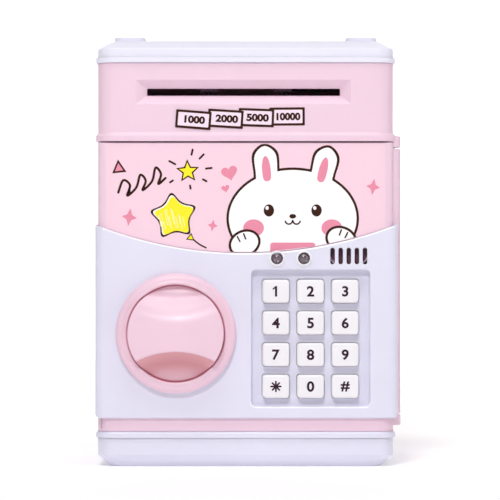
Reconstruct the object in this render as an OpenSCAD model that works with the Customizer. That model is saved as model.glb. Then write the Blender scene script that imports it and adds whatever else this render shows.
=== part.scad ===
// Toy safe money bank: a case with a motor-driven note slot in its header, a coin slot in its
// top cap, and a hinged door that carries the knob lock, the keypad, its electronics and the
// battery box. Millimetres. +X right, +Y back, +Z up; the origin is the middle of the base face.

/* [Case] */
// Width of the case across its side walls
case_w = 132; // [130:1:134]
// Depth of the case from the header's face to the back
case_d = 116; // [112:1:124]
// Wall thickness of the mouldings
wall = 2.4; // [2:0.1:2.4]
// Radius of the case's upright corners
corner_r = 7; // [6:0.5:8]
// How far the beads stand out of the walls
bead_out = 1; // [0.6:0.1:1.2]
// Height of the base tray
base_h = 15.8; // [15.6:0.1:16.2]
// Height at which the header starts, above the door
header_z = 145; // [145:0.5:146]
// Height at which the top cap starts
cap_z = 180; // [180:0.5:181]
// Height of the cap's flat top
cap_top = 190; // [190:0.5:192]
// Height of the two rails on the cap
rail_h = 3; // [2:0.5:4]

/* [Slots] */
// Width of the note slot
note_slot_w = 86; // [80:1:86]
// Height of the note slot
note_slot_h = 3.1; // [2.6:0.1:3.4]
// Distance of the note slot's middle from the case's middle
note_slot_x = -0.9; // [-1:0.1:0]
// Length of the coin slot
coin_slot_l = 34; // [28:1:36]
// Width of the coin slot
coin_slot_w = 5; // [4.5:0.1:5.5]

/* [Door] */
// Lowest height of the door
door_z0 = 22.8; // [22.6:0.1:23]
// Highest height of the door
door_z1 = 144.4; // [144:0.1:144.4]
// Distance of the hinge axis right of the middle
hinge_x = 65.4; // [65.2:0.1:65.6]
// Radius of the hinge barrel
barrel_r = 4; // [3.8:0.1:4.2]
// Radius of the steel hinge pins
pin_r = 1.5; // [1.2:0.1:1.6]

/* [Knob] */
// Outer radius of the ring round the knob
ring_r = 26.75; // [25:0.25:27]
// Radius of the turning dial
dial_r = 21.4; // [20:0.2:21.4]
// How far the dial stands out of the front panel
dial_h = 10; // [9:0.5:11]

/* [Keypad] */
// Pitch between the key columns
key_pitch_x = 15.4; // [15.2:0.1:15.6]
// Pitch between the key rows
key_pitch_z = 14.1; // [13.9:0.1:14.2]
// Width of a key
key_w = 12; // [11.6:0.1:12]
// Height of a key
key_h = 10.4; // [10:0.1:10.4]

/* [Note feeder] */
// Tooth size of the feeder's gears
gear_module = 0.6; // [0.6:0.1:0.6]
// Radius of the rubber rollers
roller_r = 5.85; // [5.7:0.05:5.9]
// Distance of the rollers' middles from the case's middle
roller_x = 16.5; // [15:0.5:18]

/* [Hidden] */
$fn = 48;

pink = [0.95, 0.76, 0.84];
deep_pink = [0.96, 0.72, 0.80];
lilac = [0.86, 0.85, 0.94];
white = [0.96, 0.96, 0.97];
steel = [0.72, 0.73, 0.75];
nylon = [0.93, 0.93, 0.88];
rubber = [0.12, 0.12, 0.13];
dark_plum = [0.22, 0.16, 0.20];
grey = [0.55, 0.55, 0.58];

// Planes across the depth of the case, counted from its middle
face_y = -case_d / 2;             // front of the header and of the door's pan
panel_y = face_y - 2;             // front of the panel that covers the lower door
panel_back = face_y - 0.02;
wall_front_y = face_y + 14;       // front edge of the case's side walls
pan_back_y = wall_front_y - 0.5;
cover_y0 = -36;                   // inner face of the door's inner cover
cover_y1 = -34;                   // face of the inner cover towards the cavity
hinge_y = face_y + 8;
cavity_back = case_d / 2 - wall;

// Case
inner_w = case_w - 2 * wall;
inner_d = case_d - 2 * wall;
inner_r = corner_r - wall;
floor_z = base_h + 2.2;
sill_z = 22;
shelf_z1 = header_z + 2.4;
shelf_back_y = -8;
base_bead_h = 3;
base_bead_cut = [0.7, 0.7];
header_bead_h = 4.1;
header_bead_cut = [bead_out + 0.2, 1.5];  // its slope runs into the wall above it
base_chamfer = [5.3, 5.3];
cap_chamfer = [6.2, 3.6];
cap_rim_h = 2.5;
cap_inner_z = cap_top - 2.5;
base_post = [[-55.8, -37], [55.8, -37], [-55, 47], [55, 47]];
cap_post = [[-59.8, -51.8], [59.8, -51.8], [-59.8, 51.8], [59.8, 51.8]];
post_r = 3.2;
screw_r = 1.2;
jamb_depth = 2.4;
doorway = [-59.6, 60, 25.5, 141.5];       // left, right, bottom and top of the frame's opening
strike_z = [50, 69];                      // bottom and top of the block that the latch holds
strike_back_y = -34.6;
slot_z = 167;
slot_mouth = [95.7, 10.6];
slot_depth = 3.4;
slot_collar_y = face_y + 4.5;
coin_y = 20;
rail = [14, 70, 52.5];                    // width, length and distance from the middle

// Door
lug_top_z = [header_z - 2.6, header_z + header_bead_h - 1.6];
lug_low_z = [18.4, 23];
barrel_z = [lug_low_z[1] + 0.6, lug_top_z[0] - 0.6];
pan_x = case_w / 2 - 0.2;
pan_r = 3;
pan_wall = 2.2;
pan_inner_y = face_y + pan_wall;
panel_x = [-67, 68];
panel_z0 = 21.8;
panel_low = 95.2;                         // lowest point of the panel's curved top edge
panel_arc_r = 182.5;
panel_corner = 2.2;
cover_box = [-57, 58.5, 27, 140];         // left, right, bottom and top of the inner cover's box
pillars = [[-51.5, 32.5], [-6, 32.5], [-6, 86], [-51.5, 86], [7, 134.5], [53, 134.5]];
pillar_r = 3;

// Knob and lock
knob = [-30.9, 59.6];
spindle_r = 4;
dial_gap = 0.4;
ring_h = 5;
grip_edge = 7.65;                         // half the grip's width at its middle
scoop_r = 38;
scoop_depth = 7.6;
disc_y = [-47, -44.5];
disc_r = 15;
notch_w = 3.6;
tongue_y = [-33.6, -31.6];
tongue_l = 30.5;
tongue_w = 8;
plunger_r = 1.5;
plunger_y = (disc_y[0] + disc_y[1]) / 2;
plunger_tip_z = knob[1] + disc_r + 0.4;
collar_z = [78, 78.7];
lock_frame_z = [82, 93];

// Keypad
pad = [28.9, 57.1];                       // middle of the keypad
tub = [52.5, 60.7];                       // opening of the keypad's recess
tub_depth = 4;
tub_wall = 1;
key_front_y = panel_y;
key_flange = [1.8, 0.8];                  // how far the flange stands out, and its thickness
board_y = [-51.9, -50.3];
membrane_y = [-52.9, -51.9];
dome_h = 4.6;
led_r = 2.45;
led_l = 7;                                // from its foot to where its dome starts
led_x = [14, 26];
led_z = 92.9;
grille_x = 45.9;
grille_z = 93.9;
grille_pitch = 3.6;
slat_w = 2;                               // width of one slot of the grille
speaker = [45.9, 98.8];
speaker_r = 9.4;

// Battery box inside the door
cell_r = 7.1;
cell_l = 50.5;
cell_y = -45;
cell_pitch = 14.7;
cell_z0 = 102;                            // middle of the lowest cell
cell_gap = 0.5;                           // room for the contact plates at each end
box_x = [-54.5, 1.5];
box_z = [94.6, 138.8];
box_front_y = -53.6;
box_wall = 1.2;
cover_ear = [5.5, 116.7];

// Note feeder: shaft centres are [y, z]
gear_teeth_big = 30;
gear_teeth_pair = 20;
gear_teeth_small = 10;
big_r = gear_module * gear_teeth_big / 2;
small_r = gear_module * gear_teeth_small / 2;
pair_r = gear_module * gear_teeth_pair / 2;
shaft_r = 1.5;
axle_r = 1;
drive_c = [-44, slot_z + pair_r];
pinch_c = [-44, slot_z - pair_r];
train_angle = 18;
train_gap = big_r + small_r;
reduction_c = drive_c + train_gap * [cos(train_angle), sin(train_angle)];
motor_c = reduction_c + [train_gap, 0];
plate_x = [46, 48];
plane_pair = [49, 52];
plane_drive = [52.5, 55];
plane_motor = [55.5, 58];
chassis_z = [shelf_z1, shelf_z1 + 2];
chassis_top = 183.5;
chassis_bolts = [[-40, -38], [40, -38], [-40, -14], [40, -14]];
guide_z = [slot_z - 2.8, slot_z - 1.6];

// ---- shapes that repeat ----
function arc(cx, cy, r, a0, a1, n = 8) =
    [for (i = [0:n]) let (a = a0 + (a1 - a0) * i / n) [cx + r * cos(a), cy + r * sin(a)]];

function rounded(w, d, r, n = 8) = concat(
    arc(w / 2 - r, d / 2 - r, r, 0, 90, n),
    arc(r - w / 2, d / 2 - r, r, 90, 180, n),
    arc(r - w / 2, r - d / 2, r, 180, 270, n),
    arc(w / 2 - r, r - d / 2, r, 270, 360, n));

// The two ends of a span that reaches h either side of c
function span(c, h) = [c - h, c + h];

// A block between two corners
module block(x, y, z)
    translate([x[0], y[0], z[0]]) cube([x[1] - x[0], y[1] - y[0], z[1] - z[0]]);

// A rounded slab round the Z axis, between two heights
module slab(w, d, r, z)
    translate([0, 0, z[0]]) linear_extrude(z[1] - z[0]) polygon(rounded(w, d, r));

// An outline in X and Z, extruded between two depths
module upright(y)
    translate([0, y[1], 0]) rotate([90, 0, 0]) linear_extrude(y[1] - y[0]) children();

module upright_plate(c, size, r, y)
    upright(y) translate(c) polygon(rounded(size[0], size[1], r, 5));

module rod_y(c, r, y)
    translate([c[0], y[1], c[1]]) rotate([90, 0, 0]) cylinder(h = y[1] - y[0], r = r);

// c is [y, z]
module rod_x(c, r, x)
    translate([x[0], c[0], c[1]]) rotate([0, 90, 0]) cylinder(h = x[1] - x[0], r = r);

module rod_z(c, r, z)
    translate([c[0], c[1], z[0]]) cylinder(h = z[1] - z[0], r = r);

// A rounded slab whose upper edge slopes in by cut = [inwards, downwards]
module sloped_slab(w, d, r, z, cut) {
    slab(w, d, r, [z[0], z[1] - cut[1]]);
    translate([0, 0, z[1] - cut[1]])
        linear_extrude(cut[1], scale = [1 - 2 * cut[0] / w, 1 - 2 * cut[0] / d], slices = 1)
            polygon(rounded(w, d, r));
}

// A rounded block whose lower edges are bevelled by cut = [inwards, upwards]
module bevelled_block(w, d, r, h, cut) intersection() {
    slab(w, d, r, [0, h]);
    rotate([90, 0, 0]) linear_extrude(d + 2, center = true) bevel_outline(w, h, cut);
    rotate([90, 0, 90]) linear_extrude(w + 2, center = true) bevel_outline(d, h, cut);
}

module bevel_outline(w, h, cut)
    polygon([[cut[0] - w / 2, 0], [w / 2 - cut[0], 0], [w / 2, cut[1]],
             [w / 2, h], [-w / 2, h], [-w / 2, cut[1]]]);

// A pan-head screw that points along +Z from the origin
module screw(length, r = screw_r, head_r = 2.6, head_h = 1.4) {
    difference() {
        rotate_extrude() polygon([[0, -head_h], [head_r * 0.6, -head_h], [head_r, -head_h * 0.55],
                                  [head_r, 0], [r, 0], [r, length - 1], [0, length]]);
        for (a = [0, 90])
            rotate(a) translate([-head_r * 0.6, -0.3, -head_h - 0.5]) cube([head_r * 1.2, 0.6, 1.2]);
    }
}

// Involute spur gear profile, with stub teeth and backlash for a moulded train
function involute(a) = tan(a) * 180 / PI - a;
function flank(r, base, half, pa) = half + involute(pa) - involute(acos(min(1, base / r)));
module gear_profile(teeth, turn) {
    pa = 25;
    pitch = gear_module * teeth / 2;
    base = pitch * cos(pa);
    tip = pitch + 0.8 * gear_module;
    root = pitch - 1.1 * gear_module;
    half = 90 / teeth - 0.1 / pitch * 180 / PI;
    low = max(base, root) + 0.01;
    steps = 5;
    radii = [for (i = [0:steps]) low + (tip - low) * i / steps];
    polygon([for (t = [0:teeth - 1]) let (c = turn + 360 * t / teeth)
        each concat(
            [root * [cos(c - flank(low, base, half, pa)), sin(c - flank(low, base, half, pa))]],
            [for (r = radii) r * [cos(c - flank(r, base, half, pa)), sin(c - flank(r, base, half, pa))]],
            [for (i = [0:steps]) let (r = radii[steps - i])
                r * [cos(c + flank(r, base, half, pa)), sin(c + flank(r, base, half, pa))]],
            [root * [cos(c + flank(low, base, half, pa)), sin(c + flank(low, base, half, pa))]])]);
}

// A gear on an X shaft; turn is the angle of its first tooth, measured from +Y towards +Z
module gear(c, teeth, turn, bore, x)
    translate([x[0], c[0], c[1]]) rotate([90, 0, 90]) linear_extrude(x[1] - x[0]) difference() {
        gear_profile(teeth, turn);
        circle(bore);
    }

// ---- case ----
// A band that stands out all round the case, sloped at its top
module bead(z, cut)
    sloped_slab(case_w + 2 * bead_out, case_d + 2 * bead_out, corner_r + bead_out, z, cut);

module note_funnel() translate([note_slot_x, 0, 0]) {
    mouth = slot_mouth / 2;
    neck = [note_slot_w, note_slot_h] / 2;
    y0 = face_y - 0.1;
    y1 = face_y + slot_depth;
    grow = 0.1 / slot_depth;
    m = mouth + grow * (mouth - neck);
    intersection() {
        translate([0, 0, slot_z - 10]) linear_extrude(20)
            polygon([[-m[0], y0], [m[0], y0], [neck[0], y1], [-neck[0], y1]]);
        rotate([90, 0, 90]) linear_extrude(2 * case_w, center = true)
            polygon([[y0, slot_z - m[1]], [y1, slot_z - neck[1]], [y1, slot_z + neck[1]],
                     [y0, slot_z + m[1]]]);
    }
    block([-neck[0], neck[0]], [face_y, slot_collar_y + 1], span(slot_z, neck[1]));
}

module body_shell() color(pink) difference() {
    union() {
        difference() {
            union() {
                slab(case_w, case_d, corner_r, [base_h, cap_z]);
                bead([header_z, header_z + header_bead_h], header_bead_cut);
                for (z = [lug_top_z, lug_low_z])
                    rod_z([hinge_x, hinge_y], barrel_r, z);
            }
            // money cavity, header room and the drop behind the shelf
            slab(inner_w, inner_d, inner_r, [floor_z, header_z]);
            slab(inner_w, inner_d, inner_r, [shelf_z1, cap_z + 1]);
            block([2 - inner_w / 2, inner_w / 2 - 2], [shelf_back_y, cavity_back - 2],
                  [header_z - 1, shelf_z1 + 1]);
            // doorway
            block([-case_w, hinge_x - barrel_r - 0.5], [face_y - 2, wall_front_y], [sill_z, header_z]);
            block([hinge_x - barrel_r - 1, case_w], [face_y - 2, wall_front_y],
                  [lug_low_z[1], lug_top_z[0]]);
            difference() {
                block([hinge_x - barrel_r - 1, case_w], [face_y - 2, wall_front_y], [sill_z, header_z]);
                rod_z([hinge_x, hinge_y], barrel_r, [sill_z - 1, header_z + 1]);
            }
        }
        sill_fill();
        slot_collar();
        for (p = base_post)
            rod_z(p, post_r + 0.4, [floor_z - 0.5, floor_z + 7.8]);
        for (p = cap_post)
            intersection() {
                rod_z(p, post_r + 1, [167.6, 170]);
                slab(case_w - 1, case_d - 1, corner_r, [160, 175]);
            }
    }
    note_funnel();
    for (p = base_post)
        rod_z(p, screw_r, [base_h - 1, floor_z + 6.3]);
    for (p = cap_post)
        rod_z(p, screw_r + 0.3, [160, 171]);
    for (p = chassis_bolts)
        rod_z(p, screw_r + 0.3, [header_z - 1, shelf_z1 + 1]);
    for (z = [[lug_low_z[0] + 1, lug_low_z[1] + 1], [lug_top_z[0] - 1, lug_top_z[1] - 1.4]])
        rod_z([hinge_x, hinge_y], pin_r, z);
}

module sill_fill()
    block([-inner_w / 2 - 0.5, 61], [face_y + wall - 0.5, wall_front_y], [floor_z - 0.5, sill_z]);

// Frame glued into the doorway, which stiffens the case's front edges. The latch tongue turns
// behind the block on its left side.
module doorway_frame() color(pink) {
    edge = inner_w / 2;
    front_y = wall_front_y;
    difference() {
        block([-edge, edge], [front_y, front_y + jamb_depth], [floor_z, header_z]);
        block([doorway[0], doorway[1]], [front_y - 1, front_y + jamb_depth + 1], [doorway[2], doorway[3]]);
    }
    block([-edge, doorway[0]], [front_y, strike_back_y], strike_z);
}

module slot_collar()
    block(span(note_slot_x, note_slot_w / 2 + wall), [face_y + wall - 0.5, slot_collar_y],
          span(slot_z, 3.8));

module top_cap() color(lilac) difference() {
    h = cap_top - cap_z;
    union() {
        sloped_slab(case_w, case_d, corner_r, [cap_z, cap_top], cap_chamfer);
        slab(case_w + 2 * bead_out, case_d + 2 * bead_out, corner_r + bead_out,
             [cap_z, cap_z + cap_rim_h]);
        for (s = [-1, 1])
            translate([s * rail[2], 0, 0]) slab(rail[0], rail[1], 4, [cap_top - 1, cap_top + rail_h]);
        cap_lip();
        for (p = cap_post)
            rod_z(p, post_r, [170, cap_z + 1]);
    }
    difference() {
        translate([0, 0, cap_inner_z]) mirror([0, 0, 1])
            bevelled_block(inner_w, inner_d, inner_r, h + 2, cap_chamfer);
        for (p = cap_post)
            rod_z(p, post_r, [160, cap_top]);
        cap_lip();
    }
    translate([0, coin_y, 0]) {
        slab(coin_slot_l + 18, 18, 6, [cap_top - 1, cap_top + 1]);
        slab(coin_slot_l, coin_slot_w, coin_slot_w / 2 - 0.1, [cap_inner_z - 1, cap_top]);
    }
    for (p = cap_post)
        rod_z(p, screw_r, [169, 179]);
}

// Ring under the cap that centres it in the case
module cap_lip() difference() {
    slab(inner_w - 0.4, inner_d - 0.4, inner_r - 0.2, [cap_z - 3.5, cap_z + 0.5]);
    slab(inner_w - 3.6, inner_d - 3.6, inner_r - 1.8, [cap_z - 4, cap_z + 1]);
}

// The tray's outer shape, with its walls moved in by inset
module tray_block(inset)
    translate([0, 0, base_h]) mirror([0, 0, 1])
        sloped_slab(case_w - 2 * inset, case_d - 2 * inset, corner_r - inset, [0, base_h], base_chamfer);

module base_tray() color(lilac) difference() {
    union() {
        difference() {
            union() {
                tray_block(0);
                bead([base_h - base_bead_h, base_h], base_bead_cut);
            }
            translate([0, 0, wall])
                bevelled_block(inner_w, inner_d, inner_r, base_h, base_chamfer);
        }
        intersection() {
            tray_block(0.5);
            for (x = [-30, 0, 30])
                block(span(x, 0.8), span(0, case_d / 2), [wall - 0.5, 10]);
        }
        for (p = base_post)
            rod_z(p, post_r + 1.4, [0, base_h]);
    }
    for (p = base_post) {
        rod_z(p, post_r, [-1, 6]);
        rod_z(p, screw_r + 0.3, [5, base_h + 1]);
    }
}

module base_screws() color(steel) for (p = base_post)
    translate([p[0], p[1], 6]) screw(18.5);

module cap_screws() color(steel) for (p = cap_post)
    translate([p[0], p[1], 167.6]) screw(10);

module chassis_screws() color(steel) for (p = chassis_bolts)
    translate([p[0], p[1], header_z]) screw(7);

module hinge_pins() color(steel) {
    rod_z([hinge_x, hinge_y], pin_r, [lug_low_z[0] + 1, lug_low_z[1] + 10]);
    rod_z([hinge_x, hinge_y], pin_r, [lug_top_z[0] - 10, lug_top_z[1] - 1.4]);
}

// ---- note feeder ----
module feeder_chassis() color(dark_plum) difference() {
    union() {
        block([-58, 58], [-54, -9], chassis_z);
        block(plate_x, [-52, -10], [chassis_z[0], chassis_top]);
        block([-48, -46], [-52, -36], [chassis_z[0], 178]);
        for (s = [-1, 1])
            block(span(s * 45.75, 0.75), [-52, -13.6], [guide_z[0] - 2, guide_z[0]]);
        for (p = chassis_bolts)
            rod_z(p, 3, [chassis_z[0], chassis_z[1] + 4]);
    }
    for (c = [drive_c, pinch_c]) {
        rod_x(c, shaft_r + 0.05, [-49, -45]);
        rod_x(c, shaft_r + 0.05, [45, 49]);
    }
    rod_x(reduction_c, axle_r, [45, 49]);
    rod_x(motor_c, 3.1, [44, 49]);
    for (p = chassis_bolts)
        rod_z(p, screw_r, [chassis_z[0] - 1, chassis_z[1] + 3]);
}

module bill_guide() color(dark_plum) difference() {
    union() {
        block([-46, 46], [slot_collar_y + 0.2, -12], guide_z);
        block([-46, 46], [-13.2, -12], [guide_z[0] - 7, guide_z[1]]);
    }
    for (s = [-1, 1])
        block(span(s * roller_x, 5), [-51, -37], [guide_z[0] - 1, guide_z[1] + 1]);
}

module motor() color(steel) difference() {
    union() {
        rod_x(motor_c, 3, [plate_x[0] - 0.5, plate_x[1]]);
        rod_x(motor_c, 4.6, [19.4, 21.5]);
        intersection() {
            rod_x(motor_c, 10, [21, plate_x[0]]);
            block([20, 47], span(motor_c[0], 11), span(motor_c[1], 7.7));
        }
    }
    rod_x(motor_c, axle_r + 0.05, [18, 60]);
}

module gear_axle() color(steel)
    rod_x(reduction_c, axle_r, [plate_x[0], 60]);

module bill_sensor() color(rubber) union() {
    block([28, 36], [-52.5, -46], [guide_z[0] - 4.4, guide_z[0]]);
    block([30, 34], [-50.5, -48], [guide_z[0] - 7, guide_z[0] - 4]);
}

module drive_shaft() color(steel)
    rod_x(drive_c, shaft_r, [-49.5, 55.5]);

module pinch_shaft() color(steel)
    rod_x(pinch_c, shaft_r, [-49.5, 52.4]);

module rollers(c) for (s = [-1, 1])
    difference() {
        rod_x(c, roller_r, span(s * roller_x, 4));
        rod_x(c, shaft_r, span(s * roller_x, 5));
    }

module drive_rollers() color(rubber) rollers(drive_c);
module pinch_rollers() color(rubber) rollers(pinch_c);

module drive_pair_gear() color(nylon)
    gear(drive_c, gear_teeth_pair, -90, shaft_r, plane_pair);

module pinch_gear() color(nylon)
    gear(pinch_c, gear_teeth_pair, 90 + 180 / gear_teeth_pair, shaft_r, plane_pair);

module drive_gear() color(nylon)
    gear(drive_c, gear_teeth_big, train_angle, shaft_r, plane_drive);

module reduction_gear() color(nylon) {
    gear(reduction_c, gear_teeth_small, train_angle + 180 + 180 / gear_teeth_small, axle_r + 0.06,
         [plane_drive[0] - 0.3, plane_motor[0]]);
    gear(reduction_c, gear_teeth_big, 0, axle_r + 0.06, plane_motor);
}

module motor_pinion() color(steel)
    gear(motor_c, gear_teeth_small, 180 + 180 / gear_teeth_small, axle_r, plane_motor);

module motor_shaft() color(steel)
    rod_x(motor_c, axle_r, [19, 59]);

// ---- door ----
// Outline of the front panel: square at its foot, hollow curve at its top
module panel_outline(x, z0, low, r, corner) {
    n = 20;
    mid_z = low + r;
    a0 = asin(x[1] / r);
    a1 = asin(x[0] / r);
    polygon(concat(
        arc(x[0] + corner, z0 + corner, corner, 180, 270, 5),
        arc(x[1] - corner, z0 + corner, corner, 270, 360, 5),
        [for (i = [0:n]) let (a = a0 + (a1 - a0) * i / n) [r * sin(a), mid_z - r * cos(a)]]));
}

// A slab between two heights whose two front corners are rounded
module rounded_front(x, y, r, z)
    translate([0, 0, z[0]]) linear_extrude(z[1] - z[0])
        polygon(concat(arc(x[0] + r, y[0] + r, r, 180, 270, 6),
                       arc(x[1] - r, y[0] + r, r, 270, 360, 6),
                       [[x[1], y[1]], [x[0], y[1]]]));

module door_shell() color(pink) difference() {
    union() {
        difference() {
            rounded_front([-pan_x, pan_x], [face_y, pan_back_y], pan_r, [door_z0, door_z1]);
            rounded_front([pan_wall - pan_x, pan_x - pan_wall], [pan_inner_y, 0], 1.5,
                          [door_z0 + pan_wall, door_z1 - pan_wall]);
            for (z = [[0, barrel_z[0]], [barrel_z[1], 200]])
                rod_z([hinge_x, hinge_y], barrel_r + 0.45, z);
            // the wall behind the barrel is open, so that the lugs pass it
            for (z = [[0, barrel_z[0]], [barrel_z[1], 200]])
                block([hinge_x - barrel_r - 0.45, case_w], [hinge_y, 0], z);
        }
        rod_z([hinge_x, hinge_y], barrel_r, barrel_z);
        for (p = pillars)
            rod_y(p, pillar_r, [pan_inner_y - 0.5, cover_y0]);
        speaker_seat();
        block(span(knob[0], 5), [pan_inner_y - 0.5, plunger_y - 5.2], span(87.5, 4));
    }
    upright_plate([pad[0], pad[1] + 0.2], tub + 2 * [tub_wall + 0.3, tub_wall + 0.3], 2,
                  [face_y - 1, pan_inner_y + 1]);
    rod_y(knob, 6, [face_y - 1, pan_inner_y + 1]);
    for (x = led_x)
        rod_y([x, led_z], 2.8, [face_y - 1, pan_inner_y + 1]);
    block(span(grille_x, 9.2), [face_y - 1, pan_inner_y + 1], span(grille_z, 3.8));
    for (z = [[barrel_z[0] - 1, barrel_z[0] + 10.5], [barrel_z[1] - 10.5, barrel_z[1] + 1]])
        rod_z([hinge_x, hinge_y], pin_r + 0.06, z);
    for (p = pillars)
        rod_y(p, screw_r - 0.1, [cover_y0 - 9, cover_y0 + 1]);
}

// Collar on the pan's inner face that the speaker is glued into
module speaker_seat() difference() {
    rod_y(speaker, speaker_r + 1.3, [pan_inner_y - 0.5, pan_inner_y + 3]);
    rod_y(speaker, speaker_r + 0.1, [pan_inner_y - 1, pan_inner_y + 4]);
}

module front_panel() color(lilac) difference() {
    union() {
        intersection() {
            difference() {
                rounded_front(panel_x, [panel_y, 0], 4, [0, 200]);
                rounded_front([-pan_x - 0.1, pan_x + 0.5], [panel_back, 1], pan_r, [-1, 201]);
                block([0, 100], [-55.2, 10], [-1, 201]);
                block([-100, 0], [-46, 10], [-1, 201]);
            }
            upright([-80, 0]) panel_outline(panel_x, panel_z0, panel_low, panel_arc_r, panel_corner);
        }
        upright_plate([pad[0], pad[1] + 0.2], tub + 2 * [tub_wall, tub_wall], 2.5,
                      [panel_y + 1, panel_y + tub_depth + tub_wall]);
        for (x = [3.2, 54.6], z = [29, 85.5])
            rod_y([x, z], 1.6, [panel_y + tub_depth + tub_wall - 0.5, board_y[0]]);
        rod_y(knob, spindle_r + 1.4, [panel_y + 1, panel_y + 6]);
    }
    upright_plate([pad[0], pad[1] + 0.2], tub, 2, [panel_y - 1, panel_y + tub_depth]);
    for (i = [0:11])
        upright_plate(key_centre(i), [key_w, key_h] + [0.5, 0.5], 1.5, [panel_y - 1, panel_y + 6]);
    for (x = led_x)
        rod_y([x, led_z], 2.6, [panel_y - 1, panel_y + 3]);
    for (i = [-2:2])
        upright_plate([grille_x + i * grille_pitch, grille_z], [slat_w, 7.4], slat_w / 2 - 0.02,
                      [panel_y - 1, panel_y + 3]);
    rod_y(knob, spindle_r + 0.08, [panel_y - 1, panel_y + 7]);
}

module print_panel() color(deep_pink) upright([face_y - 0.3, face_y]) difference() {
    translate([-62.3, 90]) square([124.6, door_z1 - 0.4 - 90]);
    translate([0, panel_low + panel_arc_r]) difference() {
        circle(300);
        circle(panel_arc_r - 0.3, $fn = 240);
    }
}

// Ring round the dial, with a rounded front
module knob_ring() color(pink)
    translate([knob[0], panel_y, knob[1]]) rotate([90, 0, 0]) rotate_extrude($fn = 96)
        polygon(concat([[ring_r, 0]], arc(ring_r - 2.4, ring_h - 2.4, 2.4, 0, 90, 6),
                       arc(dial_r + 1.3, ring_h - 1, 1, 90, 180, 4), [[dial_r + 0.3, 0]]));

module inner_cover() color(white) difference() {
    union() {
        difference() {
            union() {
                upright([pan_back_y - 1.4, pan_back_y])
                    polygon([[-63.3, 25.3], [60.6, 25.3], [60.6, 141.7], [-63.3, 141.7]]);
                block([cover_box[0], cover_box[1]], [pan_back_y - 1.4, cover_y1],
                      [cover_box[2], cover_box[3]]);
            }
            block([cover_box[0] + 2, cover_box[1] - 2], [pan_back_y - 2, cover_y0],
                  [cover_box[2] + 2, cover_box[3] - 2]);
        }
        battery_tub();
        rod_y(cover_ear, 2.6, [-44, cover_y0]);
        block([box_x[1] + 0.5, cover_ear[0] + 2], [-44, cover_y0], span(cover_ear[1], 1));
        rod_y(knob, spindle_r + 2, [-39, cover_y1]);
        for (x = [30, 42], z = [40, 84])
            rod_y([x, z], 2, [board_y[1], cover_y0 + 0.5]);
    }
    battery_window();
    rod_y(knob, spindle_r + 0.08, [-60, 0]);
    rod_y(cover_ear, screw_r - 0.1, [-43, 0]);
    for (p = pillars) {
        rod_y(p, screw_r + 0.3, [cover_y0 - 1, 0]);
        rod_y(p, 2.9, [cover_y1 - 1.2, 0]);
    }
    block([42, 50], [cover_y0 - 1, 0], [100, 101.6]);
    block([42, 50], [cover_y0 - 1, 0], [96, 97.6]);
}

// The box that holds the cells: open towards the cavity, closed towards the front
module battery_tub() difference() {
    block(box_x + [-box_wall, box_wall], [box_front_y, cover_y0 + 0.5], box_z + [-box_wall, box_wall]);
    block(box_x, [box_front_y + box_wall, 0], box_z);
}

module battery_window() {
    block(box_x, [box_front_y + box_wall, 0], box_z);
    block(box_x + [-1, 1], [cover_y0, 0], box_z + [-0.6, 0.6]);
    rod_y(cover_ear, 3.8, [cover_y0, 0]);
    block([0, cover_ear[0]], [cover_y0, 0], span(cover_ear[1], 3.8));
}

module battery_cover() color(white) difference() {
    union() {
        block(box_x + [-0.8, 0.8], [cover_y0 + 0.05, cover_y1], box_z + [-0.4, 0.4]);
        rod_y(cover_ear, 3.5, [cover_y0 + 0.05, cover_y1]);
        block([0, cover_ear[0]], [cover_y0 + 0.05, cover_y1], span(cover_ear[1], 3.5));
        for (i = [0:4])
            block(span(-43.4 + i * 2.4, 0.6), [cover_y1 - 0.5, cover_y1 + 0.7], [104, 129]);
    }
    rod_y(cover_ear, screw_r + 0.3, [cover_y0 - 1, 0]);
    rod_y(cover_ear, 2.8, [cover_y1 - 1.2, 0]);
}

// Three cells along X, the middle one turned end for end
module battery_cells() color([0.2, 0.45, 0.35]) for (i = [0:2])
    translate([(box_x[0] + box_x[1]) / 2, cell_y, cell_z0 + i * cell_pitch])
        rotate([0, i == 1 ? -90 : 90, 0]) cell();

// One cell round Z, its nub at the lower end of the space between the contacts
module cell() {
    start = cell_gap - (box_x[1] - box_x[0]) / 2;
    translate([0, 0, start]) rotate_extrude()
        polygon([[0, 0], [2.6, 0], [2.6, 1.2], [cell_r, 1.4], [cell_r, cell_l], [0, cell_l]]);
}

// A plate at each end of every cell, with a spring at its flat end
module battery_contacts() color(steel) for (i = [0:2])
    translate([(box_x[0] + box_x[1]) / 2, cell_y, cell_z0 + i * cell_pitch])
        rotate([0, i == 1 ? -90 : 90, 0]) contact_pair();

module contact_pair() {
    end = (box_x[1] - box_x[0]) / 2;
    for (z = [[0.1 - end, 0.4 - end], [end - 0.4, end - 0.1]])
        block([-5, 5], [-5, 5], z);
    difference() {
        rod_z([0, 0], 3.6, [cell_gap - end + cell_l + 0.1, end - 0.3]);
        rod_z([0, 0], 2.9, [0, end + 1]);
    }
}

module key_membrane() color([0.8, 0.82, 0.85]) union() {
    upright_plate(pad, [45.6, 57.6], 2, membrane_y);
    for (i = [0:11])
        translate([key_centre(i)[0], membrane_y[0] + 0.2, key_centre(i)[1]]) rotate([90, 0, 0])
            rotate_extrude() polygon([[0, 0], [3, 0], [1.9, 2], [1.9, dome_h], [0, dome_h]]);
}

module circuit_board() color([0.12, 0.42, 0.24]) difference() {
    union() {
        block([0, 57.4], board_y, [27.6, 88]);
        block([8, 32], board_y, [87, 98]);
        block([6, 16], [board_y[1], board_y[1] + 1.8], [40, 50]);
        block([20, 24], [board_y[1], board_y[1] + 3], [66, 74]);
        rod_y([50, 64], 3, [board_y[1], board_y[1] + 7]);
    }
    for (x = [3.2, 54.6], z = [29, 85.5])
        rod_y([x, z], 0.8, [board_y[0] - 1, board_y[1] + 1]);
}

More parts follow.
